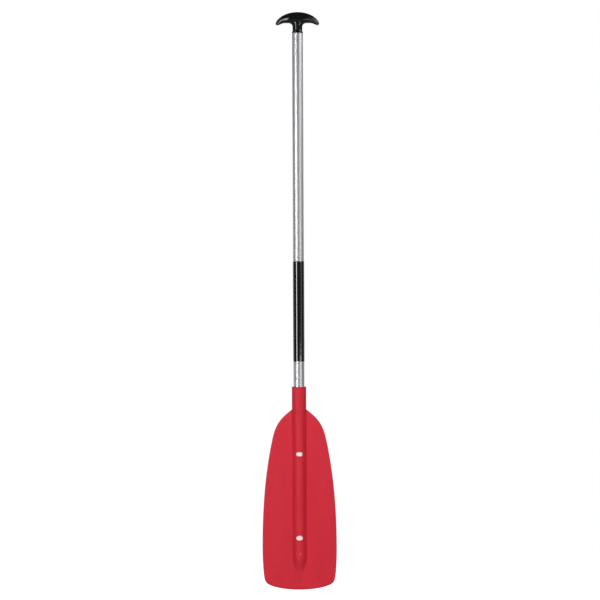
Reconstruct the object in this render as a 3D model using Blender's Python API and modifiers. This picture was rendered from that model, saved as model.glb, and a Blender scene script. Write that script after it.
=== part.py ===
# Boat paddle, upright as it hangs: grip up (+Z), blade down, blade width along X,
# blade thickness along Y, photographed face toward -Y. Metres. The origin is the
# point on the shaft axis level with the underside of the grip's wings, where the
# paddle hangs on a rack.
import bpy
import bmesh
from math import sin, cos, pi, radians, sqrt

for old in list(bpy.data.objects):
    bpy.data.objects.remove(old, do_unlink=True)

# Clearance between any two pieces, and the facets round a turned piece.
GAP = 0.0003
SEGS = 64
WING_SEGS = 24

# Shaft
SHAFT_OD = 0.028
SHAFT_WALL = 0.00125
FREE_LEN = 0.9180

# Grip
GRIP_W = 0.113
GRIP_RISE = 0.0297
GRIP_DEPTH = 0.036
GRIP_ARCH = 0.0010
GRIP_DROOP = 0.0048
GRIP_WAIST = 0.44
GRIP_TAPER = 0.36
GRIP_TAPER_START = 0.30
GRIP_TAPER_SOFT = 0.12
NECK_LEN = 0.0253
NECK_STEP = 0.0013
THROAT_H = 0.0090
THROAT_FLARE = 0.0105
RIM_H = 0.0032
RIM_FLARE_H = 0.0056
SPIGOT_LEN = 0.060
SPIGOT_WALL = 0.0028

# Sleeve for the lower hand
SLEEVE_LEN = 0.260
SLEEVE_WALL = 0.0005
SLEEVE_LIFT = 0.0657

# Blade
SOCKET_WALL = 0.0042
SOCKET_LEN = 0.0584
BLADE_LEN = 0.4686
BLADE_W = 0.1925
WEB_T = 0.0042
EDGE_T = 0.0008
SPINE_WALL = 0.0037
SPINE_BOW = 50.0
SPINE_SINK = 0.0004
SPINE_SOFT = 0.0016
FLARE_LEN = 0.060
FLARE = 0.0065
TUBE_TO_TIP = 0.0872
POINT_TO_TIP = 0.0200
POINT_RISE = 0.145
WINDOW_W = 0.0175
UPPER_WINDOW_H = 0.0118
UPPER_WINDOW_DROP = 0.1152
LOWER_WINDOW_H = 0.0129
LOWER_WINDOW_LIFT = 0.0488

# Plugs
FLOAT_LEN = 0.040
STOPPER_LEN = 0.022
FLANGE = 0.002

# Radii and levels that follow from the sizes above
SHAFT_R = SHAFT_OD / 2
SHAFT_IR = SHAFT_R - SHAFT_WALL
BORE_R = SHAFT_R + GAP
PLUG_R = SHAFT_IR - GAP
NECK_R = SHAFT_R - NECK_STEP
SOCKET_R = BORE_R + SOCKET_WALL
CREST = BORE_R + SPINE_WALL
WEB = WEB_T / 2
TUBE_TOP = -NECK_LEN
SOCKET_TOP = TUBE_TOP - FREE_LEN
SHOULDER = SOCKET_TOP - SOCKET_LEN
TIP = SHOULDER - BLADE_LEN
TUBE_END = TIP + TUBE_TO_TIP
BORE_END = TUBE_END - GAP - FLANGE - GAP
TAPER_TOP = BORE_END - SPINE_WALL
POINT = TIP + POINT_TO_TIP

part = bpy.data.collections.new("boat_paddle")
cutters = bpy.data.collections.new("cutters")
for home in (part, cutters):
    bpy.context.scene.collection.children.link(home)


def material(name, rgb, rough, metal=0.0):
    mat = bpy.data.materials.new(name)
    mat.use_nodes = True
    bsdf = mat.node_tree.nodes["Principled BSDF"]
    bsdf.inputs["Base Color"].default_value = (*rgb, 1.0)
    bsdf.inputs["Roughness"].default_value = rough
    bsdf.inputs["Metallic"].default_value = metal
    return mat


def add(name, mesh, mat):
    """Links a mesh as a sub-part, or as a cutter where it has no material."""
    obj = bpy.data.objects.new(name, mesh)
    if mat:
        mesh.materials.append(mat)
        part.objects.link(obj)
    else:
        cutters.objects.link(obj)
        obj.hide_render = True
        obj.display_type = "WIRE"
    return obj


def turned(name, profile, mat=None, hollow=False):
    """Turns (radius, height) pairs, listed down the outer side, about the Z axis."""
    count = len(profile)
    edges = [(i, i + 1) for i in range(count - 1)]
    if hollow:
        edges.append((count - 1, 0))
    mesh = bpy.data.meshes.new(name)
    mesh.from_pydata([(r, 0.0, z) for r, z in profile], edges, [])
    obj = add(name, mesh, mat)
    screw = obj.modifiers.new("turn", "SCREW")
    screw.steps = screw.render_steps = SEGS
    screw.use_merge_vertices = True
    screw.merge_threshold = 0.00001
    return obj


def loft(name, rings, mat=None):
    """A closed body through rings with the same number of points."""
    bm = bmesh.new()
    rows = [[bm.verts.new(point) for point in ring] for ring in rings]
    count = len(rows[0])
    for upper, lower in zip(rows, rows[1:]):
        for i in range(count):
            j = (i + 1) % count
            bm.faces.new((upper[i], upper[j], lower[j], lower[i]))
    bm.faces.new(rows[0])
    bm.faces.new(rows[-1])
    bmesh.ops.recalc_face_normals(bm, faces=bm.faces)
    mesh = bpy.data.meshes.new(name)
    bm.to_mesh(mesh)
    bm.free()
    return add(name, mesh, mat)


def oval(rx, ry, z):
    angles = [2 * pi * i / SEGS for i in range(SEGS)]
    return [(rx * cos(a), ry * sin(a), z) for a in angles]


def boolean(target, other, operation):
    mod = target.modifiers.new(other.name, "BOOLEAN")
    mod.operation = operation
    mod.object = other


def smooth(obj):
    obj.data.shade_smooth()
    obj.data.set_sharp_from_angle(angle=radians(35))


def ease(t):
    t = min(max(t, 0.0), 1.0)
    return t * t * (3 - 2 * t)


def pull(value, power):
    """Raises a sine or cosine to a power and keeps its sign."""
    return abs(value) ** power * (1 if value > 0 else -1)


def make_shaft():
    mat = material("anodised_aluminium", (0.62, 0.63, 0.65), 0.32, 1.0)
    ends = [(SHAFT_IR, TUBE_TOP), (SHAFT_R, TUBE_TOP), (SHAFT_R, TUBE_END), (SHAFT_IR, TUBE_END)]
    turned("shaft_tube", ends, mat, hollow=True)


def make_sleeve():
    """Thin shrink sleeve with softened ends."""
    mat = material("black_shrink_sleeve", (0.012, 0.012, 0.013), 0.28)
    inner = BORE_R
    outer = inner + SLEEVE_WALL
    lip = outer - SLEEVE_WALL / 2
    low = SOCKET_TOP + SLEEVE_LIFT
    top = low + SLEEVE_LEN
    turned("grip_sleeve", [
        (inner, top), (lip, top), (outer, top - SLEEVE_WALL),
        (outer, low + SLEEVE_WALL), (lip, low), (inner, low),
    ], mat, hollow=True)


def wing_ring(x):
    """One section of the crescent: its widest line, the waist, lies below the middle, and it is
    rounder over the waist, for the palm, than under it, for the fingers."""
    out = abs(x) / (GRIP_W / 2)
    top = GRIP_RISE * (1 - out ** 2) ** 0.6
    low = GRIP_ARCH * ease((out - 0.20) / 0.25)
    low -= (GRIP_ARCH + GRIP_DROOP) * ease((out - 0.60) / 0.36)
    tip = max(0.0, out - 0.911) / 0.089
    low += GRIP_DROOP * (1 - sqrt(1 - tip ** 2))
    past = out - GRIP_TAPER_START
    ramp = (past + sqrt(past ** 2 + GRIP_TAPER_SOFT ** 2)) / 2
    deep = (GRIP_DEPTH / 2 - GRIP_TAPER * GRIP_W / 2 * ramp) * sqrt(1 - out ** 14)
    waist = low + GRIP_WAIST * (top - low)
    ring = []
    for i in range(WING_SEGS):
        c, s = cos(2 * pi * i / WING_SEGS), sin(2 * pi * i / WING_SEGS)
        y = deep * pull(c, 0.95 if s > 0 else 0.8)
        reach = top - waist if s > 0 else waist - low
        ring.append((x, y, waist + reach * pull(s, 0.9)))
    return ring


def neck_rings():
    """Oval throat under the wings, round neck, base rim and spigot, from the top down."""
    wide = NECK_R + 1.25 * THROAT_FLARE
    rings = [oval(wide, NECK_R, 0.012), oval(wide, NECK_R, 0.004)]
    for share in (1.0, 0.95, 0.85, 0.7, 0.5, 0.3, 0.0):
        out = THROAT_FLARE * (1 - sqrt(1 - share ** 2))
        rings.append(oval(NECK_R + out, NECK_R + 0.2 * out, THROAT_H * (share - 1)))
    rim_r = SHAFT_R + 0.00025
    rim_top = TUBE_TOP + RIM_H
    seat = TUBE_TOP + GAP
    low = TUBE_TOP - SPIGOT_LEN
    soft = 0.0006
    for share in (0.0, 0.3, 0.55, 0.75, 0.92):
        out = (rim_r - NECK_R) * (1 - sqrt(1 - share ** 2))
        z = rim_top + RIM_FLARE_H * (1 - share)
        rings.append(oval(NECK_R + out, NECK_R + out, z))
    for r, z in (
        (rim_r - soft / 2, rim_top), (rim_r, rim_top - soft), (rim_r, seat + soft),
        (rim_r - soft, seat), (PLUG_R, seat), (PLUG_R, low + 0.0015), (PLUG_R - 0.001, low),
    ):
        rings.append(oval(r, r, z))
    return rings


def make_grip():
    """Crescent lofted along X and joined to its neck, whose spigot is cored from below."""
    mat = material("black_grip_plastic", (0.010, 0.010, 0.012), 0.22)
    stations = [GRIP_W / 2 * sin(radians(88.5) * k / 14) for k in range(-14, 15)]
    grip = loft("t_grip", [wing_ring(x) for x in stations], mat)
    smooth(grip)
    neck = loft("neck", neck_rings())
    smooth(neck)
    boolean(grip, neck, "UNION")
    core_r = PLUG_R - SPIGOT_WALL
    low = TUBE_TOP - SPIGOT_LEN - 0.01
    core = turned("core", [(0.0, 0.007), (core_r - 0.002, 0.007), (core_r, 0.004),
                           (core_r, low), (0.0, low)])
    boolean(grip, core, "DIFFERENCE")


def make_plugs():
    """Foam bung under the spigot, and a flanged stopper in the lower end of the tube."""
    foam = material("grey_foam", (0.22, 0.22, 0.23), 0.90)
    top = TUBE_TOP - SPIGOT_LEN - GAP
    low = top - FLOAT_LEN
    soft = 0.001
    turned("upper_float_plug", [
        (0.0, top), (PLUG_R - soft, top), (PLUG_R, top - soft),
        (PLUG_R, low + soft), (PLUG_R - soft, low), (0.0, low),
    ], foam)
    rubber = material("black_stopper", (0.02, 0.02, 0.02), 0.60)
    top = TUBE_END + STOPPER_LEN
    seat = TUBE_END - GAP
    turned("lower_end_plug", [
        (0.0, top), (PLUG_R - soft, top), (PLUG_R, top - 2 * soft), (PLUG_R, seat),
        (SHAFT_R, seat), (SHAFT_R, seat - FLANGE), (0.0, seat - FLANGE),
    ], rubber)


def spine_ring(z, crest, soft, flare=0.0, blend=1.0):
    """A bell section that sinks into the web, blended with the socket's circle."""
    buried = WEB - SPINE_SINK
    reach = sqrt(max(crest - WEB, 0.0) / SPINE_BOW) + 0.0027 + FLARE * flare
    ring = []
    for i in range(SEGS):
        c, s = cos(2 * pi * i / SEGS), sin(2 * pi * i / SEGS)
        hump = crest - SPINE_BOW * (reach * c) ** 2
        y = (hump + buried + sqrt((hump - buried) ** 2 + soft ** 2)) / 2
        side = 0 if i % (SEGS // 2) == 0 else pull(s, 0)
        x = blend * reach * c + (1 - blend) * SOCKET_R * c
        ring.append((x, blend * y * side + (1 - blend) * SOCKET_R * s, z))
    return ring


def spine_rings():
    """Socket, flared shoulder, even spine over the tube, then the long point."""
    rings = []
    for r, drop in ((SOCKET_R - 0.0008, 0.0), (SOCKET_R + 0.0003, 0.001), (SOCKET_R, 0.006)):
        rings.append(oval(r, r, SOCKET_TOP - drop))
    for drop in (0.0, 0.003, 0.006, 0.010, 0.015, 0.022, 0.030, 0.040, 0.050, FLARE_LEN):
        flare = 1 - ease(drop / FLARE_LEN)
        soft = SPINE_SOFT + 0.006 * flare
        rings.append(spine_ring(SHOULDER - drop, CREST, soft, flare, ease(drop / 0.022)))
    length = TAPER_TOP - POINT
    lift = CREST - WEB - POINT_RISE * length
    for share in (0.0, 0.1, 0.2, 0.3, 0.4, 0.5, 0.65, 0.8, 0.9, 1.0, 1.1):
        drop = share * length
        crest = WEB + POINT_RISE * (length - drop) + lift * (1 - ease(drop / 0.032))
        soft = SPINE_SOFT * (1 - 0.8 * min(share, 1.0))
        rings.append(spine_ring(TAPER_TOP - drop, crest, soft))
    return rings


def web_curve():
    """The blade's outline: knots and handles as shares of its half width and length."""
    half = [
        [(0.162, -0.005), (0.162, -0.005), (0.3622, 0.0300)],
        [(0.7165, 0.1569), (0.6113, 0.0587), (0.9256, 0.3522)],
        [(1.0, 0.7642), (1.0, 0.5506), (1.0, 0.8490)],
        [(0.9568, 0.9319), (0.9745, 0.9089), (0.9304, 0.9662)],
        [(0.7121, 0.9813), (0.8405, 0.9724), (0.5913, 0.9896)],
        [(0.0, 1.0), (0.3645, 1.0), (-0.3645, 1.0)],
    ]
    other = [[(-x, z) for x, z in (knot, right, left)] for knot, left, right in half[-2::-1]]
    curve = bpy.data.curves.new("web_outline", "CURVE")
    curve.dimensions = "2D"
    curve.fill_mode = "BOTH"
    curve.extrude = EDGE_T / 2
    curve.resolution_u = 9
    spline = curve.splines.new("BEZIER")
    spline.use_cyclic_u = True
    spline.bezier_points.add(len(half + other) - 1)
    for point, (knot, left, right) in zip(spline.bezier_points, half + other):
        point.handle_left_type = "VECTOR" if left == knot else "FREE"
        point.handle_right_type = "VECTOR" if right == knot else "FREE"
        for slot, (x, z) in (("co", knot), ("handle_left", left), ("handle_right", right)):
            setattr(point, slot, (x * BLADE_W / 2, SHOULDER - z * BLADE_LEN, 0.0))
    return curve


def make_web():
    """Flat plate from the outline, thinned toward a rounded edge on both faces."""
    guide = add("web_outline", web_curve(), None)
    guide.rotation_euler.x = radians(90)
    bpy.context.view_layer.update()
    seen = guide.evaluated_get(bpy.context.evaluated_depsgraph_get())
    mesh = bpy.data.meshes.new_from_object(seen)
    mesh.transform(guide.matrix_world)
    bpy.data.objects.remove(guide)
    bm = bmesh.new()
    bm.from_mesh(mesh)
    bmesh.ops.remove_doubles(bm, verts=bm.verts, dist=0.00001)
    bmesh.ops.recalc_face_normals(bm, faces=bm.faces)
    rise = WEB - EDGE_T / 2
    for way in (-1, 1):
        flat = [f for f in bm.faces if f.normal.y * way > 0.9]
        face = bmesh.ops.dissolve_faces(bm, faces=flat)["region"]
        for inset, share in ((0.0004, 0.28), (0.0012, 0.30), (0.0034, 0.30), (0.0075, 0.12)):
            bmesh.ops.inset_region(bm, faces=face, thickness=inset, depth=share * rise,
                                   use_even_offset=True, use_boundary=True)
    bm.to_mesh(mesh)
    bm.free()
    return add("web", mesh, None)


def window_cutter(name, tall, level):
    """An obround bar through both faces of the spine."""
    bm = bmesh.new()
    bmesh.ops.create_cone(bm, cap_ends=True, segments=30, radius1=tall / 2, radius2=tall / 2,
                          depth=4 * SOCKET_R)
    run = (WINDOW_W - tall) / 2
    for vert in bm.verts:
        x, y, depth = vert.co
        vert.co = (x + pull(x, 0) * run, -depth, y + level)
    bmesh.ops.recalc_face_normals(bm, faces=bm.faces)
    mesh = bpy.data.meshes.new(name)
    bm.to_mesh(mesh)
    bm.free()
    return add(name, mesh, None)


def make_blade():
    mat = material("red_polypropylene", (0.597, 0.026, 0.047), 0.40)
    blade = loft("blade", spine_rings(), mat)
    smooth(blade)
    boolean(blade, make_web(), "UNION")
    bore = turned("bore", [(0.0, SOCKET_TOP + 0.01), (BORE_R, SOCKET_TOP + 0.01),
                           (BORE_R, BORE_END), (0.0, BORE_END)])
    boolean(blade, bore, "DIFFERENCE")
    upper = window_cutter("upper_window", UPPER_WINDOW_H, SHOULDER - UPPER_WINDOW_DROP)
    lower = window_cutter("lower_window", LOWER_WINDOW_H, TUBE_END + LOWER_WINDOW_LIFT)
    boolean(blade, upper, "DIFFERENCE")
    boolean(blade, lower, "DIFFERENCE")


make_shaft()
make_sleeve()
make_grip()
make_plugs()
make_blade()
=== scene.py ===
from math import asin, cos, exp, pi, radians, sin, sqrt

import bmesh
import bpy
import numpy as np
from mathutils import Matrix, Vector
from mathutils.geometry import interpolate_bezier


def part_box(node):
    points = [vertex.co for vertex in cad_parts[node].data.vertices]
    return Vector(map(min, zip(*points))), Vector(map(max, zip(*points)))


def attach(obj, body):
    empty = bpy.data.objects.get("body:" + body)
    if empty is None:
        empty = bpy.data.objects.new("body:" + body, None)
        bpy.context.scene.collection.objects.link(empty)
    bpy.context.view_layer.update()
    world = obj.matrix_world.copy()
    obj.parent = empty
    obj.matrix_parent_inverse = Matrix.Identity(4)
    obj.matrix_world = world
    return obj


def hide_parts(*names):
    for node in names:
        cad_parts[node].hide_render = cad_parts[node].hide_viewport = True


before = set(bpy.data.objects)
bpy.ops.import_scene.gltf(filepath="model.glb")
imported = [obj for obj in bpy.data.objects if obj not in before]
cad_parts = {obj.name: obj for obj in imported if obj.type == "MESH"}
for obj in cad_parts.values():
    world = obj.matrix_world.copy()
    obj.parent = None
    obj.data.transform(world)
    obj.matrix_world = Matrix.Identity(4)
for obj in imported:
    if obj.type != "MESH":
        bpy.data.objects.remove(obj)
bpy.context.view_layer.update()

# Shaft tube
# A drawn aluminium tube, clear anodised and cut square at both ends. The part that is glued
# into the blade is painted matt cream: a painted reflection of the lit tube in the blade's
# windows.
tube_low, tube_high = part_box("shaft_tube")
tube_r = tube_high.x
tube_wall = 0.00125
tube_end_soft = 0.0002
# Below this level the tube is painted matt cream, a painted reflection of the lit tube.
window_glare_top = -1.06
window_glare_fade = 0.002
joint_gap = 0.0003
merge_dist = 0.000001
round_steps, corner_steps = 128, 5
sharp_angle = radians(35)


def spun(profile):
    """A body of revolution: a closed line of (radius, height) pairs spun about the shaft."""
    bm = bmesh.new()
    ring = [bm.verts.new((r, 0.0, z)) for r, z in profile]
    edges = [bm.edges.new(pair) for pair in zip(ring, ring[1:] + ring[:1])]
    bmesh.ops.spin(bm, geom=ring + edges, cent=(0, 0, 0), axis=(0, 0, 1), angle=2 * pi,
                   steps=round_steps, use_merge=True)
    bmesh.ops.remove_doubles(bm, verts=bm.verts, dist=merge_dist)
    bmesh.ops.recalc_face_normals(bm, faces=bm.faces)
    return bm


def solid(name, bm):
    """An object from a finished bmesh."""
    mesh = bpy.data.meshes.new(name)
    bm.to_mesh(mesh)
    bm.free()
    obj = bpy.data.objects.new(name, mesh)
    bpy.context.scene.collection.objects.link(obj)
    return obj


def stand_in(obj, mat, node):
    """Finishes a piece and lets it stand for its CAD node on the same body."""
    obj.data.shade_smooth()
    obj.data.set_sharp_from_angle(angle=sharp_angle)
    obj.data.materials.clear()
    obj.data.materials.append(mat)
    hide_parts(node)
    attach(obj, "root")
    return obj


def put(tree, kind, values, **settings):
    """A shader node; values fills its inputs, by name or in order, with numbers or links."""
    made = tree.nodes.new("ShaderNode" + kind)
    for key, value in settings.items():
        setattr(made, key, value)
    wanted = values.items() if isinstance(values, dict) else enumerate(values)
    for key, value in wanted:
        if isinstance(value, bpy.types.NodeSocket):
            tree.links.new(value, made.inputs[key])
        else:
            made.inputs[key].default_value = value
    return made.outputs[0]


def noise(tree, place, scale, detail=2.0, distortion=0.0):
    """Noise at a scale per metre; three numbers stretch it along the axes."""
    if not isinstance(scale, tuple):
        scale = (scale,) * 3
    mapped = put(tree, "Mapping", {"Vector": place, "Scale": scale})
    return put(tree, "TexNoise", {"Vector": mapped, "Scale": 1.0, "Detail": detail,
                                  "Distortion": distortion})


def spread(tree, value, low, high, to_low, to_high):
    """Stretches the part of a value between low and high, clamped at both ends."""
    return put(tree, "MapRange", (value, low, high, to_low, to_high), clamp=True)


def times(tree, value, factor, plus=0.0):
    """A value times a factor, with another value added."""
    return put(tree, "Math", (value, factor, plus), operation="MULTIPLY_ADD")


def total(tree, first, second):
    """The sum of two values."""
    return put(tree, "Math", (first, second), operation="ADD")


def relief(tree, shader, strength, depth, height):
    """Fine relief on a shader from a height; depth is in metres."""
    bump = put(tree, "Bump", {"Strength": strength, "Distance": depth, "Height": height})
    tree.links.new(bump, shader["Normal"])


def blend(tree, factor, first, second):
    """A colour between two others."""
    mix = tree.nodes.new("ShaderNodeMix")
    mix.data_type = "RGBA"
    tree.links.new(factor, mix.inputs["Factor"])
    for name, value in (("A", first), ("B", second)):
        socket = next(s for s in mix.inputs if s.name == name and s.type == "RGBA")
        if isinstance(value, bpy.types.NodeSocket):
            tree.links.new(value, socket)
        else:
            socket.default_value = (*value, 1.0)
    return next(s for s in mix.outputs if s.type == "RGBA")


def finish(name, **plain):
    """An empty material with its shader's plain numbers set, and its Object coordinates."""
    mat = bpy.data.materials.new(name)
    mat.use_nodes = True
    tree = mat.node_tree
    shader = tree.nodes["Principled BSDF"]
    for key, value in plain.items():
        shader.inputs[key.replace("_", " ")].default_value = value
    place = tree.nodes.new("ShaderNodeTexCoord").outputs["Object"]
    return mat, tree, shader.inputs, place


def effect(name, numbers, outputs):
    """A named node group with a Vector input, number inputs and number outputs."""
    group = bpy.data.node_groups.new(name, "ShaderNodeTree")
    sockets = group.interface
    sockets.new_socket("Vector", in_out="INPUT", socket_type="NodeSocketVector")
    for key, value in numbers.items():
        made = sockets.new_socket(key, in_out="INPUT", socket_type="NodeSocketFloat")
        made.default_value = value
    for key in outputs:
        sockets.new_socket(key, in_out="OUTPUT", socket_type="NodeSocketFloat")
    inside = group.nodes.new("NodeGroupInput").outputs
    out = group.nodes.new("NodeGroupOutput").inputs
    return group, inside, out


def use(tree, group, place, **numbers):
    """Places an effect in a material and returns its outputs."""
    made = tree.nodes.new("ShaderNodeGroup")
    made.node_tree = group
    tree.links.new(place, made.inputs["Vector"])
    for key, value in numbers.items():
        made.inputs[key].default_value = value
    return made.outputs


def scratch_effect():
    """Sparse hairline scratches: thin level lines of a warped noise, seen in patches."""
    group, inside, out = effect("handling_scratches", {"Scale": 60.0, "Width": 0.01}, ["Mask"])
    warped = put(group, "TexNoise", {"Vector": inside["Vector"], "Scale": inside["Scale"],
                                     "Detail": 1.0, "Distortion": 1.6})
    away = put(group, "Math", (put(group, "Math", (warped, 0.5), operation="SUBTRACT"),),
               operation="ABSOLUTE")
    lines = spread(group, away, 0.0, inside["Width"], 1.0, 0.0)
    patch = put(group, "TexNoise", {"Vector": inside["Vector"], "Scale": 14.0, "Detail": 1.0})
    patch = spread(group, patch, 0.52, 0.66, 0.0, 1.0)
    group.links.new(put(group, "Math", (lines, patch), operation="MULTIPLY"), out["Mask"])
    return group


scratches = scratch_effect()


def tube_material():
    """Clear anodised metal with draw lines; low down it is painted matt cream as a painted
    reflection.
    """
    mat, tree, shader, place = finish("anodised_tube")
    drawn = noise(tree, place, (1700, 1700, 1.5), detail=3)
    bands = noise(tree, place, (300, 300, 1))
    cloud = noise(tree, place, (14, 14, 3))
    marks = use(tree, scratches, place, Scale=55.0, Width=0.008)["Mask"]
    level = tree.nodes.new("ShaderNodeSeparateXYZ")
    tree.links.new(place, level.inputs[0])
    # Painted reflection: the metal turns matt cream below a set level, for the lit tube in the
    # windows.
    glare_share = spread(tree, level.outputs["Z"], window_glare_top, window_glare_top - window_glare_fade, 0.0, 1.0)
    band = spread(tree, bands, 0.3, 0.7, 0.0, 1.0)
    metal = blend(tree, band, (0.70, 0.712, 0.725), (0.77, 0.782, 0.795))
    painted_glare = blend(tree, cloud, (1.0, 0.87, 0.82), (1.0, 0.90, 0.85))
    tree.links.new(blend(tree, glare_share, metal, painted_glare), shader["Base Color"])
    tree.links.new(put(tree, "Math", (1.0, glare_share), operation="SUBTRACT"), shader["Metallic"])
    rough = spread(tree, drawn, 0.3, 0.7, 0.43, 0.48)
    rough = total(tree, rough, times(tree, marks, 0.15))
    rough = total(tree, rough, times(tree, glare_share, 0.25))
    tree.links.new(rough, shader["Roughness"])
    relief(tree, shader, 0.12, 0.00002, drawn)
    return mat


tube_rings = [(tube_r - tube_wall, tube_high.z), (tube_r - tube_end_soft, tube_high.z),
              (tube_r, tube_high.z - tube_end_soft), (tube_r, tube_low.z + tube_end_soft),
              (tube_r - tube_end_soft, tube_low.z), (tube_r - tube_wall, tube_low.z)]
stand_in(solid("drawn_tube", spun(tube_rings)), tube_material(), "shaft_tube")

# T grip
# A crescent palm grip with a round neck, moulded in one piece in glossy black plastic. Its
# cored spigot is pushed into the tube and a small rim at the neck's foot rests on the end.
grip_low, grip_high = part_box("t_grip")
wing_half = grip_high.x
wing_rise = grip_high.z
wing_deep = 0.018
wing_waist = 0.44
top_curve = 0.6
arch_h, arch_from, arch_over = 0.001, 0.20, 0.25
droop_h, droop_from, droop_over = 0.0048, 0.60, 0.36
tip_from = 0.911
taper, taper_from, taper_soft = 0.36 * wing_half, 0.30, 0.12
end_square = 14
top_full, under_full, face_curve = 0.95, 0.8, 0.9
neck_r = 0.0127
throat_h = 0.009
throat_flare = (0.0105, 0.0018)
throat_reach = (0.6, 0.55)
rim_r = tube_r + 0.00025
rim_h = 0.0032
rim_flare_h = 0.0056
rim_soft, rim_step = 0.0007, 0.0002
cove_share = 0.97
spigot_r = 0.01245
spigot_lead = (0.001, 0.0015)
core_r = 0.00965
core_soft = 0.0004
core_roof = ((0.0, 0.004), (0.0008, 0.0055), (0.002, 0.007))
grip_steps = 160
top_steps, under_steps, throat_steps, cove_steps = 26, 20, 12, 7


def ease(t):
    """A smooth step from 0 to 1."""
    t = min(max(t, 0.0), 1.0)
    return t * t * (3 - 2 * t)


def over(first, second, soft):
    """The higher of two heights with a fillet where they cross."""
    return (first + second + sqrt((first - second) ** 2 + soft ** 2)) / 2


def lofted(sections, steps):
    """A skin drawn out from ring to ring; each section gives the point for a ring's step."""
    bm = bmesh.new()
    step = bm.verts.layers.int.new("step")
    ring = bmesh.ops.create_circle(bm, segments=steps, radius=1.0)["verts"]
    for number, vert in enumerate(ring):
        vert[step] = number
    edges = bm.edges[:]
    for count, section in enumerate(sections):
        if count:
            made = bmesh.ops.extrude_edge_only(bm, edges=edges)["geom"]
            ring = {g for g in made if isinstance(g, bmesh.types.BMVert)}
            edges = [g for g in made if isinstance(g, bmesh.types.BMEdge)
                     and g.verts[0] in ring and g.verts[1] in ring]
        for vert in ring:
            vert.co = section(vert[step])
    bmesh.ops.remove_doubles(bm, verts=bm.verts, dist=merge_dist)
    bmesh.ops.holes_fill(bm, edges=[e for e in bm.edges if e.is_boundary])
    bmesh.ops.recalc_face_normals(bm, faces=bm.faces)
    return bm


def wing_section(x):
    """The crescent at a place along it: its waist's height, reach above and below, half depth."""
    out = min(abs(x) / wing_half, 1.0)
    top = wing_rise * (1 - out ** 2) ** top_curve
    low = arch_h * ease((out - arch_from) / arch_over)
    low -= (arch_h + droop_h) * ease((out - droop_from) / droop_over)
    tip = max(0.0, out - tip_from) / (1 - tip_from)
    low += droop_h * (1 - sqrt(max(0.0, 1 - tip ** 2)))
    deep = wing_deep - taper * over(out - taper_from, 0.0, taper_soft)
    deep *= sqrt(1 - out ** end_square)
    waist = low + wing_waist * (top - low)
    return waist, top - waist, waist - low, deep


def wing_point(x, y, way, edge=False):
    """The crescent's surface over or under a place: round on top, squarer underneath."""
    waist, above, below, deep = wing_section(x)
    share = 1.0 if edge else min(abs(y) / max(deep, 1e-9), 1.0)
    full, reach = (top_full, above) if way > 0 else (under_full, -below)
    return Vector((x, y, waist + reach * sqrt(max(0.0, 1 - share ** (2 / full))) ** face_curve))


def wing_edge(turn):
    """The crescent's widest line, seen from above."""
    x = wing_half * cos(turn)
    y = wing_section(x)[3] * (1 if sin(turn) >= 0 else -1)
    return x, (0.0 if abs(sin(turn)) < 1e-9 else y)


def over_wings(share):
    """A ring on the upper face; share is 0 at the top and 1 at the edge."""
    def point(step):
        x, y = wing_edge(2 * pi * step / grip_steps)
        return wing_point(x * share, y * share, 1, edge=share > 0.9999)
    return point


def under_point(turn, share):
    """On the under face: share is 1 at the edge and 0 where the throat starts."""
    x, y = wing_edge(turn)
    start = (neck_r * cos(turn) + throat_flare[0] * cos(turn) ** 3,
             (neck_r + throat_flare[1]) * sin(turn))
    return wing_point(start[0] + (x - start[0]) * share, start[1] + (y - start[1]) * share, -1)


def under_wings(share):
    """A ring on the under face, between its edge (1) and the throat's start (0)."""
    return lambda step: under_point(2 * pi * step / grip_steps, share)


def throat(share):
    """A ring of the fillet from the under face (0) down to the round neck (1)."""
    def point(step):
        turn = 2 * pi * step / grip_steps
        start = under_point(turn, 0.0)
        run = (start - under_point(turn, 0.03)).normalized()
        end = Vector((neck_r * cos(turn), neck_r * sin(turn), -throat_h))
        first = start + run * throat_reach[0] * (start - end).xy.length
        second = end + Vector((0, 0, throat_reach[1] * (start.z - end.z)))
        a, b = 1 - share, share
        return start * a ** 3 + first * 3 * a * a * b + second * 3 * a * b * b + end * b ** 3
    return point


def level_ring(r, z, steps):
    """A round ring at one height."""
    return lambda step: Vector((r * cos(2 * pi * step / steps), r * sin(2 * pi * step / steps), z))


def corner(r, z, soft, quarter):
    """Points round a soft corner at (r, z): quarter 0 is outer top, 1 outer bottom."""
    spots = []
    for k in range(corner_steps + 1):
        turn = pi / 2 * k / corner_steps
        if quarter == 0:
            spots.append((r - soft + soft * sin(turn), z - soft + soft * cos(turn)))
        else:
            spots.append((r - soft + soft * cos(turn), z + soft - soft * sin(turn)))
    return spots


def grip_sections():
    """From the crest over the wings' edge, down the throat, neck and spigot, up into the core."""
    rows = [over_wings(sin(pi / 2 * k / top_steps)) for k in range(top_steps + 1)]
    rows += [under_wings(sin(pi / 2 * k / under_steps)) for k in range(under_steps - 1, 0, -1)]
    rows += [throat(k / throat_steps) for k in range(throat_steps + 1)]
    rim_top, seat = tube_high.z + rim_h, tube_high.z + joint_gap
    spots = []
    for k in range(cove_steps + 1):
        share = cove_share * k / cove_steps
        spots.append((neck_r + (rim_r - neck_r) * (1 - sqrt(1 - share ** 2)),
                      rim_top + rim_flare_h * (1 - share)))
    spots += corner(rim_r, rim_top - rim_step, rim_soft / 2, 0)
    spots += corner(rim_r, seat, rim_soft, 1)
    spots += [(spigot_r + rim_step, seat), (spigot_r, seat - rim_step)]
    spots += [(spigot_r, grip_low.z + spigot_lead[1]), (spigot_r - spigot_lead[0], grip_low.z)]
    spots += [(core_r + core_soft, grip_low.z), (core_r, grip_low.z + core_soft)]
    spots += [(core_r - inset, z) for inset, z in core_roof] + [(0.0, core_roof[-1][1])]
    return rows + [level_ring(r, z, grip_steps) for r, z in spots]


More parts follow.
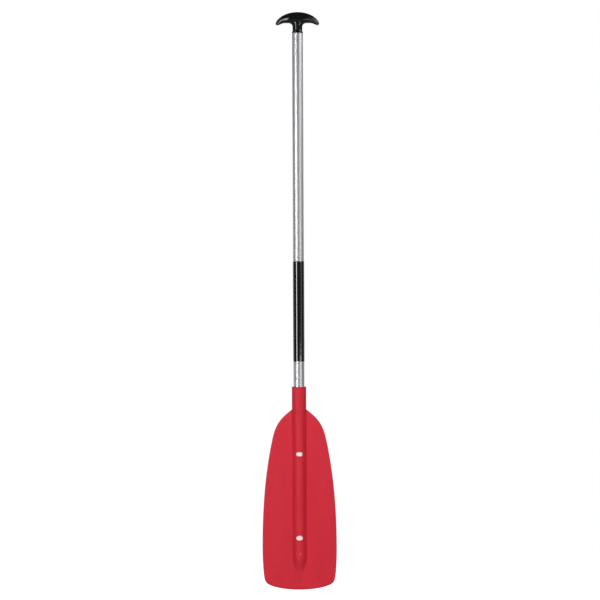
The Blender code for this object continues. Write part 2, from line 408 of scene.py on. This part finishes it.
def grain_effect():
    """The fine orange peel of a moulding, as a height, and cloudy patches of polish."""
    group, inside, out = effect("moulded_grain", {"Scale": 900.0}, ["Height", "Polish"])
    fine = put(group, "TexNoise", {"Vector": inside["Vector"], "Scale": inside["Scale"],
                                   "Detail": 3.0})
    slow = put(group, "TexNoise", {"Vector": inside["Vector"], "Scale": 26.0, "Detail": 2.0})
    group.links.new(fine, out["Height"])
    group.links.new(slow, out["Polish"])
    return group


grain = grain_effect()


def grip_material():
    """Glossy black with a fine peel, hairline scratches and specks of dust."""
    mat, tree, shader, place = finish("black_grip_plastic", Specular_IOR_Level=0.45,
                                      Coat_Weight=0.1, Coat_Roughness=0.07)
    peel = use(tree, grain, place, Scale=650.0)
    marks = use(tree, scratches, place, Scale=75.0, Width=0.007)["Mask"]
    dust = noise(tree, place, 2600, detail=1.0)
    specks = spread(tree, dust, 0.72, 0.78, 0.0, 0.6)
    black = blend(tree, peel["Polish"], (0.0020, 0.0026, 0.0028), (0.0035, 0.0042, 0.0045))
    black = blend(tree, specks, black, (0.035, 0.035, 0.037))
    tree.links.new(blend(tree, times(tree, marks, 0.5), black, (0.05, 0.05, 0.052)),
                   shader["Base Color"])
    rough = spread(tree, peel["Polish"], 0.35, 0.65, 0.10, 0.15)
    tree.links.new(total(tree, rough, times(tree, marks, 0.2)), shader["Roughness"])
    relief(tree, shader, 0.08, 0.00003, peel["Height"])
    return mat


grip = solid("palm_grip", lofted(grip_sections(), grip_steps))
stand_in(grip, grip_material(), "t_grip")

# Grip sleeve
# A length of glossy black shrink tubing for the lower hand. It is warmed on to the tube, so it
# follows it closely, and its cut ends are a little thicker and softly rounded.
sleeve_low, sleeve_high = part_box("grip_sleeve")
sleeve_in = tube_r + joint_gap
sleeve_out = sleeve_high.x
sleeve_soft = 0.6 * (sleeve_out - sleeve_in)
sleeve_slack, sleeve_steps = 0.00004, 52
sleeve_ripples = ((0.00002, 1.9, 0.0), (0.000015, 0.7, 1.0))


def sleeve_rings():
    """The cut ends stand out a little from the body, which has faint ripples."""
    outer = corner(sleeve_out, sleeve_high.z, sleeve_soft, 0)
    for k in range(1, sleeve_steps):
        z = sleeve_high.z + (sleeve_low.z - sleeve_high.z) * k / sleeve_steps
        ripple = sum(size * sin(k * pace + start) for size, pace, start in sleeve_ripples)
        outer.append((sleeve_out - sleeve_slack - ripple, z))
    outer += corner(sleeve_out, sleeve_low.z, sleeve_soft, 1)
    return [(sleeve_in, sleeve_high.z)] + outer + [(sleeve_in, sleeve_low.z)]


def sleeve_material():
    """Glossy black with draw lines, faint puckers, hairline scratches and dust."""
    mat, tree, shader, place = finish("black_shrink_sleeve", Coat_IOR=1.6, Coat_Weight=1.0,
                                      Coat_Roughness=0.06)
    lines = noise(tree, place, (800, 800, 6), detail=2)
    puckers = noise(tree, place, (60, 60, 110), detail=2)
    marks = use(tree, scratches, place, Scale=65.0, Width=0.008)["Mask"]
    dust = spread(tree, noise(tree, place, 2200, detail=1.0), 0.76, 0.82, 0.0, 0.4)
    black = blend(tree, lines, (0.0020, 0.0024, 0.0026), (0.0035, 0.0040, 0.0043))
    black = blend(tree, dust, black, (0.03, 0.03, 0.032))
    tree.links.new(blend(tree, times(tree, marks, 0.5), black, (0.05, 0.05, 0.052)),
                   shader["Base Color"])
    rough = spread(tree, puckers, 0.3, 0.7, 0.10, 0.15)
    tree.links.new(total(tree, rough, times(tree, marks, 0.2)), shader["Roughness"])
    relief(tree, shader, 0.08, 0.00004, total(tree, puckers, times(tree, lines, 0.1)))
    return mat


stand_in(solid("shrink_sleeve", spun(sleeve_rings())), sleeve_material(), "grip_sleeve")

# Float plug
# A bung of grey closed-cell foam, pushed into the top of the tube under the spigot, so that
# the shaft keeps water out and floats.


def foam_material():
    """Grey foam with small round cells."""
    mat, tree, shader, place = finish("closed_cell_foam", Roughness=0.9)
    cells = put(tree, "TexVoronoi", {"Vector": place, "Scale": 1400.0})
    tone = noise(tree, place, 120, detail=3)
    grey = blend(tree, tone, (0.17, 0.17, 0.178), (0.26, 0.26, 0.268))
    tree.links.new(blend(tree, times(tree, cells, 0.6), grey, (0.10, 0.10, 0.105)),
                   shader["Base Color"])
    relief(tree, shader, 0.8, 0.0002, cells)
    return mat


def dress(name, mat):
    """Gives a hidden piece, which keeps its CAD solid, its material."""
    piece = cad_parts[name].data
    piece.materials.clear()
    piece.materials.append(mat)


dress("upper_float_plug", foam_material())

# Blade
# One moulding in red polypropylene: a round socket over the tube, a hollow spine that runs
# down both faces and ends in a point, and a flat web with a thin rounded edge. Two obround
# windows on each face open the spine, and the tube is glued in through them.
blade_low, blade_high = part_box("blade")
half_width = blade_high.x
socket_top, blade_tip = blade_high.z, blade_low.z
socket_len, socket_wall, spine_wall = 0.0584, 0.0042, 0.0037
shoulder = socket_top - socket_len
blade_len = shoulder - blade_tip
bore_r = tube_r + joint_gap
bore_end = tube_low.z - 0.0026
socket_r = bore_r + socket_wall
crest = bore_r + spine_wall
bore_foot = ((0.001, 0.0), (0.0003, 0.0003), (0.0, 0.001))
mouth = ((0.0, 0.0006), (0.0002, 0.0002), (0.0006, 0.0))
lip, lip_soft = 0.0003, 0.0011
lip_fade = ((0.00022, 0.0025), (0.0001, 0.004), (0.0, 0.006))
web = 0.0021
foot_turn = asin(web / socket_r)
nose_w, nose_h, rise_w, rise_curve = 0.0042, 0.0017, 0.0125, 2.2
full_web = 0.016
nose_steps = (0.0, 0.00012, 0.0003, 0.0006, 0.001, 0.0015, 0.0021, 0.003, 0.0045, 0.0065, 0.009,
              0.0125)
spine_bow = 47.0
merge_len, flare_len, flare_reach = 0.022, 0.060, 0.0065
root_soft, root_soft_more, root_soft_flare, root_soft_point = 0.0016, 0.0019, 0.005, 0.8
root_room, root_room_more, root_room_point = 0.0027, 0.0026, 0.0024
taper_top = bore_end - spine_wall
point_level = blade_tip + 0.0200
point_slope, point_drop, point_end = 0.145, 0.032, 0.008
swell_fade, swell_fade_more, swell_rim = 0.0012, 0.0022, 0.002
last_drop = blade_len - 0.0117
window_wide, window_soft, cutter_reach = 0.0175, 0.0008, 0.03
windows = ((0.0118, shoulder - 0.1152), (0.0129, tube_low.z + 0.0488))
gate_x, gate_level = 0.0020, taper_top + 0.0138
# Reach of a painted highlight that makes the first gate mark paler.
gate_glint_reach = (0.0012, 0.0036)
gate_marks = ((gate_x, crest - 0.0008, gate_level, 0.0036, 0.0015),
              (0.0503, web - 0.0002, blade_tip + 0.0296, 0.0028, 0.0024))
bore_steps, socket_steps, web_steps, spine_steps = 24, 8, 14, 26
outline_steps, window_steps = 80, 72
ring_steps = 4 * (web_steps + spine_steps)
outline = [
    ((0.162, -0.005), (0.3622, 0.0300), (0.6113, 0.0587), (0.7165, 0.1569)),
    ((0.7165, 0.1569), (0.9256, 0.3522), (1.0, 0.5506), (1.0, 0.7642)),
    ((1.0, 0.7642), (1.0, 0.8490), (0.9745, 0.9089), (0.9568, 0.9319)),
    ((0.9568, 0.9319), (0.9304, 0.9662), (0.8405, 0.9724), (0.7121, 0.9813)),
    ((0.7121, 0.9813), (0.5913, 0.9896), (0.3645, 1.0), (0.0, 1.0)),
]
# The rings below the shoulder, in mm: bands of drops (from, to, step), and where a ring at a drop
# meets the outline, as a way along it from the socket or back from the middle of the tip.
ring_bands = ((0.6, 24, 0.9), (24, 60, 2.0), (60, 384, 6.0), (384, 448, 1.6), (448.6, 456.6, 0.8))
meets_from_socket = ((0, 0), (24, 33), (60, 76))
meets_from_tip = ((350, 189), (420, 117), (436, 78), (448.6, 36))


def outline_points():
    """The outline of the right half from the socket's side to the middle of the tip."""
    spots = []
    for curve in outline:
        knots = [Vector((x * half_width, shoulder - z * blade_len)) for x, z in curve]
        spots += interpolate_bezier(*knots, outline_steps)[1 if spots else 0:]
    while spots[1].x < socket_r:
        spots.pop(0)
    spots[0] = Vector((socket_r, spots[0].y))
    return np.array(spots)


rim = outline_points()
rim_run = np.concatenate([[0.0], np.cumsum(np.linalg.norm(np.diff(rim, axis=0), axis=1))])
slopes = np.gradient(rim, rim_run, axis=0)


def rim_at(run):
    """A point of the outline and the direction into the blade there."""
    spot = Vector([float(np.interp(run, rim_run, rim[:, k])) for k in (0, 1)])
    along = Vector([float(np.interp(run, rim_run, slopes[:, k])) for k in (0, 1)]).normalized()
    return spot, Vector((along.y, -along.x))


def web_height(inward):
    """Half the web's thickness at a distance in from its edge: a round nose, then a long rise."""
    nose = nose_h * sqrt(1 - (1 - min(inward / nose_w, 1.0)) ** 2)
    return nose + (web - nose_h) * (1 - (1 - min(inward / rise_w, 1.0)) ** rise_curve)


def web_depths(across):
    """Steps in from the edge over a distance, close together round the nose."""
    steps = [step * min(1.0, across / full_web) for step in nose_steps]
    rest = web_steps - len(steps)
    return steps + [steps[-1] + (across - steps[-1]) * (k + 1) / (rest + 1) for k in range(rest)]


def spine_size(level):
    """Height of the crest, reach to each side, fillet and roundness of the spine at a level."""
    drop = shoulder - level
    flare = 1 - ease(drop / flare_len)
    flat = ease(drop / merge_len)
    high = crest if drop > 0 else socket_r
    soft = root_soft + (root_soft_more + root_soft_flare * flare) * flat
    room = root_room + root_room_more * flat
    length = taper_top - point_level
    down = taper_top - level
    if down > 0:
        lift = crest - web - point_slope * length
        fall = point_slope * (length - down) + lift * (1 - ease(down / point_drop))
        high = web + max(0.0, fall)
        soft *= 1 - root_soft_point * min(down / length, 1.0)
        room -= root_room_point * min(down / length, 1.0)
    reach = sqrt(max(high - web, 0.0) / spine_bow) + room + flare_reach * flare
    if down > length:
        reach *= max(0.0, 1 - (down - length) / point_end)
    return high, reach, soft, flat


def blade_section(level, run):
    """One ring: the spine at its level, and straight lines from its foot out to the rim."""
    high, reach, soft, flat = spine_size(level)
    edge, inward = rim_at(run)
    quarter = []
    x = (flat * reach + (1 - flat) * socket_r) * cos(foot_turn)
    foot = Vector((x, level))
    across = (foot - edge).dot(inward)
    surface = web_height(across)

    def spine_height(turn):
        bow = high - spine_bow * (reach * cos(turn)) ** 2
        raw = flat * bow + (1 - flat) * socket_r * sin(turn)
        peak = flat * high + (1 - flat) * socket_r
        trim = (peak - surface) / max(over(peak, surface, soft) - surface, 1e-9)
        return surface + (over(raw, surface, soft) - surface) * trim

    swell = spine_height(foot_turn) - surface
    fade = swell_fade + swell_fade_more * flat
    for depth in web_depths(across):
        spot = edge.lerp(foot, depth / across if across > 1e-9 else 1.0)
        near = swell * exp(-(spot - foot).length / fade) * min(depth / swell_rim, 1.0)
        quarter.append(Vector((spot.x, web_height(depth) + near, spot.y)))
    for k in range(spine_steps + 1):
        turn = foot_turn + (pi / 2 - foot_turn) * k / spine_steps
        x = (flat * reach + (1 - flat) * socket_r) * cos(turn)
        quarter.append(Vector((x, spine_height(turn), level)))
    return quarter


def all_round(quarter):
    """Turns a quarter section, listed from the side to the crest, into a whole ring."""
    last = len(quarter) - 1

    def point(step):
        side, number = divmod(step, last)
        spot = quarter[number if side % 2 == 0 else last - number]
        return Vector((spot.x * (1 if side in (0, 3) else -1), spot.y * (1 if side < 2 else -1),
                       spot.z))
    return point


def round_section(r, z):
    """A quarter of a round ring, with as many points as the spine's sections."""
    turns = [foot_turn * k / web_steps for k in range(web_steps)]
    turns += [foot_turn + (pi / 2 - foot_turn) * k / spine_steps for k in range(spine_steps + 1)]
    return [Vector((r * cos(t), r * sin(t), z)) for t in turns]


def blade_sections():
    """From the bore's bottom up through the socket's mouth, then down outside to the tip."""
    spots = [(0.0, bore_end)] + [(bore_r - inset, bore_end + rise) for inset, rise in bore_foot]
    spots += [(bore_r, bore_end + (socket_top - bore_end) * k / bore_steps)
              for k in range(1, bore_steps)]
    spots += [(bore_r + outset, socket_top - drop) for outset, drop in mouth]
    spots += corner(socket_r + lip, socket_top, lip_soft, 0)
    spots += [(socket_r + outset, socket_top - drop) for outset, drop in lip_fade]
    straight, start = spots[-1][1], rim[0][1]
    spots += [(socket_r, straight - (straight - start) * k / socket_steps)
              for k in range(1, socket_steps + 1)]
    rows = [all_round(round_section(r, z)) for r, z in spots]
    whole = rim_run[-1] * 1000
    meets = [*meets_from_socket, *((drop, whole - back) for drop, back in meets_from_tip),
             (last_drop * 1000, whole)]
    for drop in np.concatenate([np.arange(*band) for band in ring_bands]):
        run = np.interp(drop, *zip(*meets))
        rows.append(all_round(blade_section(shoulder - drop / 1000, run / 1000)))
    across = blade_len - last_drop
    last = [Vector((0.0, web_height(depth), blade_tip + depth)) for depth in web_depths(across)]
    last += [Vector((0.0, web_height(across), blade_tip + across))] * (spine_steps + 1)
    return rows + [all_round(last)]


def cut(target, other, operation):
    """Applies a boolean with another object, which is then removed, and merges doubles."""
    mod = target.modifiers.new("cut", "BOOLEAN")
    mod.operation = operation
    mod.solver = "EXACT"
    mod.object = other
    bpy.context.view_layer.update()
    seen = target.evaluated_get(bpy.context.evaluated_depsgraph_get())
    done = bpy.data.meshes.new_from_object(seen)
    bm = bmesh.new()
    bm.from_mesh(done)
    bmesh.ops.remove_doubles(bm, verts=bm.verts, dist=merge_dist)
    bmesh.ops.recalc_face_normals(bm, faces=bm.faces)
    bm.to_mesh(done)
    bm.free()
    target.modifiers.clear()
    target.data = done
    bpy.data.objects.remove(other)


def window_cutter(tall, level):
    """An obround bar through both faces, widened at each face so that it leaves a soft rim."""
    soft, run = window_soft, (window_wide - tall) / 2

    def section(grow, sink, way):
        def point(step):
            turn = 2 * pi * step / window_steps
            side = 0 if abs(cos(turn)) < 1e-9 else (1 if cos(turn) > 0 else -1)
            x = (tall / 2 + grow) * cos(turn) + side * run
            z = level + (tall / 2 + grow) * sin(turn)
            y = cutter_reach if sink is None else crest - spine_bow * x * x - sink
            return Vector((x, way * y, z))
        return point
    spots = [(1.3 * soft, None), (1.3 * soft, -0.1 * soft)]
    for turn in range(15, 91, 15):
        spots.append((soft * (1 - sin(radians(turn))), soft * (1 - cos(radians(turn)))))
    rows = [section(grow, sink, -1) for grow, sink in spots]
    rows += [section(grow, sink, 1) for grow, sink in reversed(spots)]
    return solid("window_cutter", lofted(rows, window_steps))


def nub(bm, x, height, level, wide, tall):
    """A low round gate mark on the front face; height is that of its middle."""
    made = bmesh.ops.create_uvsphere(bm, u_segments=32, v_segments=16, radius=1.0)["verts"]
    bmesh.ops.scale(bm, vec=(wide, tall, wide), verts=made)
    bmesh.ops.translate(bm, vec=(x, -height, level), verts=made)


def span(tree, vector):
    """The length of a vector."""
    made = tree.nodes.new("ShaderNodeVectorMath")
    made.operation = "LENGTH"
    tree.links.new(vector, made.inputs[0])
    return made.outputs["Value"]


def blade_material():
    """Cloudy red with faint flow streaks, and a painted highlight that makes the first gate mark
    paler.
    """
    mat, tree, shader, place = finish("red_polypropylene", Specular_IOR_Level=0.3)
    flow = noise(tree, place, (22, 22, 5), detail=3, distortion=0.4)
    streak = noise(tree, place, (420, 420, 16), detail=2)
    peel = use(tree, grain, place, Scale=1100.0)
    marks = use(tree, scratches, place, Scale=34.0, Width=0.006)["Mask"]
    cloud = spread(tree, flow, 0.3, 0.7, 0.0, 1.0)
    red = blend(tree, cloud, (0.572, 0.0085, 0.025), (0.622, 0.0110, 0.030))
    red = blend(tree, times(tree, streak, 0.12), red, (0.66, 0.045, 0.07))
    # Painted highlight: a paler patch round the first gate mark stands in for the glint on its
    # dome.
    away = put(tree, "VectorMath", (place, (gate_x, -crest, gate_level)), operation="SUBTRACT")
    painted_glint = spread(tree, span(tree, away), *gate_glint_reach, 0.45, 0.0)
    red = blend(tree, painted_glint, red, (0.95, 0.12, 0.15))
    tree.links.new(blend(tree, times(tree, marks, 0.35), red, (0.72, 0.12, 0.14)),
                   shader["Base Color"])
    rough = spread(tree, peel["Polish"], 0.3, 0.7, 0.52, 0.60)
    tree.links.new(total(tree, rough, times(tree, marks, 0.15)), shader["Roughness"])
    relief(tree, shader, 0.25, 0.00004, total(tree, peel["Height"], times(tree, streak, 0.5)))
    return mat


blade = solid("moulded_blade", lofted(blade_sections(), ring_steps))
for tall, level in windows:
    cut(blade, window_cutter(tall, level), "DIFFERENCE")
nubs = bmesh.new()
for mark in gate_marks:
    nub(nubs, *mark)
cut(blade, solid("gate_marks", nubs), "UNION")
stand_in(blade, blade_material(), "blade")

# End plug
# A flanged black rubber stopper in the lower end of the tube, so that no water or glue enters.


def stopper_material():
    """Dull black rubber with cloudy patches."""
    mat, tree, shader, place = finish("stopper_rubber")
    peel = use(tree, grain, place, Scale=1500.0)
    tree.links.new(blend(tree, peel["Polish"], (0.014, 0.014, 0.015), (0.026, 0.026, 0.027)),
                   shader["Base Color"])
    tree.links.new(spread(tree, peel["Polish"], 0.3, 0.7, 0.55, 0.7), shader["Roughness"])
    relief(tree, shader, 0.4, 0.00005, peel["Height"])
    return mat


dress("lower_end_plug", stopper_material())

# Floor
# A plain white floor under the hanging paddle. The camera sees it as white as the background,
# apart from the object's shadow.
floor_level = blade_tip - 0.28
floor_half = 30.0
floor_clear, floor_white, floor_lift = 2.0, 3.2, 0.72
back_wedge = (2.0, 4.0)


def mirrored(tree, ray):
    """1 for a ray that a mirror or clear piece sends on."""
    return put(tree, "Math", (ray["Is Glossy Ray"], ray["Is Transmission Ray"]),
               operation="MAXIMUM")


def floor_material():
    """Matt white; a camera ray sees it lifted to white, and pure white far from the object.

    A mirrored ray sees it darker near the object and white in a wedge behind it.
    """
    mat, tree, shader, place = finish("white_floor", Roughness=0.8)
    tone = noise(tree, place, 3, detail=2)
    ray = tree.nodes.new("ShaderNodeLightPath").outputs
    paint = blend(tree, tone, (0.62, 0.62, 0.62), (0.64, 0.64, 0.64))
    paint = blend(tree, ray["Is Glossy Ray"], paint, (0.2, 0.2, 0.2))
    tree.links.new(paint, shader["Base Color"])
    spot = tree.nodes.new("ShaderNodeSeparateXYZ")
    tree.links.new(place, spot.inputs[0])
    far = spread(tree, span(tree, place), floor_clear, floor_white, 0.0, 1.0)
    beside = put(tree, "Math", (spot.outputs["X"],), operation="ABSOLUTE")
    wedge = times(tree, beside, -2.0, spot.outputs["Y"])
    behind = spread(tree, wedge, *back_wedge, 0.0, 1.0)
    mirror = put(tree, "Math", (mirrored(tree, ray), behind), operation="MULTIPLY")
    direct = put(tree, "Math", (ray["Is Camera Ray"], far), operation="MULTIPLY")
    white = put(tree, "Math", (direct, mirror), operation="MAXIMUM")
    lift = tree.nodes.new("ShaderNodeEmission")
    tree.links.new(times(tree, ray["Is Camera Ray"], floor_lift), lift.inputs["Strength"])
    lifted = tree.nodes.new("ShaderNodeAddShader")
    tree.links.new(tree.nodes["Principled BSDF"].outputs[0], lifted.inputs[0])
    tree.links.new(lift.outputs[0], lifted.inputs[1])
    plain = tree.nodes.new("ShaderNodeEmission")
    pick = tree.nodes.new("ShaderNodeMixShader")
    tree.links.new(white, pick.inputs[0])
    tree.links.new(lifted.outputs[0], pick.inputs[1])
    tree.links.new(plain.outputs[0], pick.inputs[2])
    tree.links.new(pick.outputs[0], tree.nodes["Material Output"].inputs["Surface"])
    return mat


bm = bmesh.new()
bmesh.ops.create_grid(bm, x_segments=8, y_segments=8, size=floor_half)
bmesh.ops.translate(bm, vec=(0, 0, floor_level), verts=bm.verts)
floor = solid("studio_floor", bm)
floor.data.materials.append(floor_material())

# Studio
# A large softbox high in front and one behind light the paddle evenly. A tall strip on the left
# and dimmer boxes on the right and at both sides only make its highlights. The camera looks
# along +Y, level with the middle of the paddle.
scene = bpy.context.scene
scene.view_settings.view_transform = "Standard"
middle = Vector((0.0, 0.0, (grip_high.z + blade_tip) / 2))
gloss_away, key_away = 2.5, 3.4
key_elevation, key_size, key_radiance = 28, (3.0, 2.2), 5.65
gloss_boxes = (
    ("left_strip", -40, 6, (0.55, 1.85), 8.8),
    ("right_high_box", 45, 12.3, (1.0, 0.55), 2.5),
    ("right_low_box", 36, -12.6, (1.5, 0.7), 2.4),
    ("right_fill_box", 57, 0, (1.0, 0.6), 0.6),
    ("right_top_box", 70, 36, (1.6, 0.8), 3.4),
    ("left_rim_box", -127.92, -10, (1.6, 2.4), 0.75),
    ("left_high_rim_box", -104, 45, (1.3, 1.3), 1.3),
    ("right_rim_box", 127.92, -10, (1.6, 2.4), 0.36),
    ("right_high_rim_box", 104, 45, (1.3, 1.3), 1.3),
)


def softbox(name, azimuth, elevation, distance, size, radiance):
    """An area light of a given radiance, turned to the middle of the paddle."""
    light = bpy.data.lights.new(name, "AREA")
    light.shape = "RECTANGLE"
    light.size, light.size_y = size
    light.energy = radiance * pi * size[0] * size[1]
    lamp = bpy.data.objects.new(name, light)
    a, e = radians(azimuth), radians(elevation)
    away = Vector((sin(a) * cos(e), -cos(a) * cos(e), sin(e)))
    lamp.location = middle + away * distance
    lamp.rotation_euler = away.to_track_quat("Z", "Y").to_euler()
    scene.collection.objects.link(lamp)
    return lamp


for name, azimuth, elevation, size, radiance in gloss_boxes:
    lamp = softbox(name, azimuth, elevation, gloss_away, size, radiance)
    lamp.visible_diffuse = False
for name, azimuth in (("front_key", -7), ("back_key", 173)):
    lamp = softbox(name, azimuth, key_elevation, key_away, key_size, key_radiance)
    lamp.visible_glossy = False

world_edge, world_dim = (0.965, 0.993), 0.06
world_ambient = (0.10, 0.30)
world = bpy.data.worlds.new("studio")
scene.world = world
world.use_nodes = True
tree = world.node_tree
tree.nodes.clear()
ray = tree.nodes.new("ShaderNodeLightPath").outputs
way = tree.nodes.new("ShaderNodeSeparateXYZ")
tree.links.new(tree.nodes.new("ShaderNodeTexCoord").outputs["Generated"], way.inputs[0])
behind = spread(tree, way.outputs["Y"], *world_edge, world_dim, 1.0)
facing = put(tree, "Math", (way.outputs["Y"], 2.0), operation="POWER")
ambient = spread(tree, facing, 0.0, 1.0, *world_ambient)
level = tree.nodes.new("ShaderNodeMix")
tree.links.new(mirrored(tree, ray), level.inputs["Factor"])
tree.links.new(ambient, level.inputs["A"])
tree.links.new(behind, level.inputs["B"])
seen = tree.nodes.new("ShaderNodeMix")
tree.links.new(ray["Is Camera Ray"], seen.inputs["Factor"])
tree.links.new(level.outputs["Result"], seen.inputs["A"])
seen.inputs["B"].default_value = 1.0
background = tree.nodes.new("ShaderNodeBackground")
background.inputs["Color"].default_value = (1, 1, 1, 1)
tree.links.new(seen.outputs["Result"], background.inputs["Strength"])
out = tree.nodes.new("ShaderNodeOutputWorld")
tree.links.new(background.outputs[0], out.inputs[0])

camera = bpy.data.cameras.new("camera")
camera.lens = 115.5
camera.sensor_width = 36
shot = bpy.data.objects.new("camera", camera)
shot.location = (0.0036, -5.0, -0.7180)
shot.rotation_euler = (radians(90), radians(0.252), 0)
scene.collection.objects.link(shot)
scene.camera = shot
